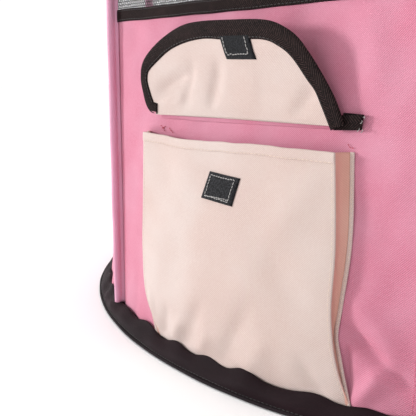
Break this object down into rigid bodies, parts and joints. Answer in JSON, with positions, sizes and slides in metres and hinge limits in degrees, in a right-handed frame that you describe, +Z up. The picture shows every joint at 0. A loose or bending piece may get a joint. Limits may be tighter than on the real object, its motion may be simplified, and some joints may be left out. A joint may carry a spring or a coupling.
{
  "type": "portable soft-sided pet pen",
  "caption": "Portable eight-sided soft pet pen with mesh windows, zip roof and door, round waterproof base and an outside bellows pocket with a flap.",
  "frame": {"origin": "centre of the underside of the round base, on the floor", "axes": "+Z up; -Y faces out through the wall with the pocket; +X faces out through the wall with the door"},
  "size_m": [0.8849, 0.885, 0.4347],
  "materials": {
    "wall_cloth": "pink coated woven polyester with a fine weave",
    "sleeve_cloth": "pink woven polyester, doubled",
    "pocket_cloth": "beige coated woven polyester",
    "edge_tape": "black herringbone binding tape",
    "mesh": "black open hexagonal net",
    "base_cloth": "black coated waterproof nylon",
    "base_piping": "black cloth piping",
    "hook_tape": "black hook tape",
    "loop_tape": "black brushed loop tape",
    "rod": "pale glass-fibre rod",
    "zip_tape": "black zip tape with black coil teeth",
    "zip_metal": "black enamelled zip slider"
  },
  "bodies": {
    "pen": {"wall_1": "wall_cloth", "window_1": "mesh", "corner_sleeve_1": "sleeve_cloth", "corner_rod_1": "rod", "wall_2": "wall_cloth", "window_2": "mesh", "corner_sleeve_2": "sleeve_cloth", "corner_rod_2": "rod", "wall_3": "wall_cloth", "window_3": "mesh", "corner_sleeve_3": "sleeve_cloth", "corner_rod_3": "rod", "wall_4": "wall_cloth", "window_4": "mesh", "corner_sleeve_4": "sleeve_cloth", "corner_rod_4": "rod", "wall_5": "wall_cloth", "window_5": "mesh", "corner_sleeve_5": "sleeve_cloth", "corner_rod_5": "rod", "wall_6": "wall_cloth", "window_6": "mesh", "corner_sleeve_6": "sleeve_cloth", "corner_rod_6": "rod", "wall_7": "wall_cloth", "window_7": "mesh", "corner_sleeve_7": "sleeve_cloth", "corner_rod_7": "rod", "wall_8": "wall_cloth", "window_8": "mesh", "corner_sleeve_8": "sleeve_cloth", "corner_rod_8": "rod", "base_floor": "base_cloth", "base_band": "base_cloth", "base_piping": "base_piping", "window_tape": "edge_tape", "rim_tape": "edge_tape", "pocket_front": "pocket_cloth", "pocket_gusset": "pocket_cloth", "pocket_hem": "pocket_cloth", "flap_seam": "wall_cloth", "loop_patch": "loop_tape", "rim_zip": "zip_tape", "door_zip_wall": "zip_tape"},
    "flap": {"flap": "pocket_cloth", "flap_tape": "edge_tape", "hook_patch": "hook_tape"},
    "roof": {"roof_mesh": "mesh", "roof_zip": "zip_tape", "roof_tape": "edge_tape"},
    "roof_slider": {"roof_slider": "zip_metal"},
    "roof_pull": {"roof_pull": "zip_metal"},
    "door": {"door": "wall_cloth", "door_zip": "zip_tape"},
    "door_slider": {"door_slider": "zip_metal"},
    "door_pull": {"door_pull": "zip_metal"}
  },
  "joints": [
    {"name": "flap_hinge", "type": "hinge", "parent": "pen", "child": "flap", "pos_m": [-0.0023, -0.40848, 0.206], "axis": [1, 0, 0], "range_deg": [0, 134]},
    {"name": "roof_hinge", "type": "hinge", "parent": "pen", "child": "roof", "pos_m": [0, 0.383, 0.429], "axis": [-1, 0, 0], "range_deg": [0, 120]},
    {"name": "roof_slider_slide", "type": "slide", "parent": "pen", "child": "roof_slider", "axis": [-0.7071, -0.7071, 0], "range_m": [0, 0.28]},
    {"name": "roof_pull_hinge", "type": "hinge", "parent": "roof_slider", "child": "roof_pull", "pos_m": [-0.15193, 0.38972, 0.4332], "axis": [0.7071, -0.7071, 0], "range_deg": [0, 150]},
    {"name": "door_hinge", "type": "hinge", "parent": "pen", "child": "door", "pos_m": [0.3995, 0, 0.262], "axis": [0, -1, 0], "range_deg": [0, 130]},
    {"name": "door_slider_slide", "type": "slide", "parent": "pen", "child": "door_slider", "axis": [0.0773, 0, -0.997], "range_m": [0, 0.15]},
    {"name": "door_pull_hinge", "type": "hinge", "parent": "door_slider", "child": "door_pull", "pos_m": [0.40168, 0.09833, 0.28187], "axis": [0.0693, -0.9976, 0], "range_deg": [0, 150]}
  ]
}
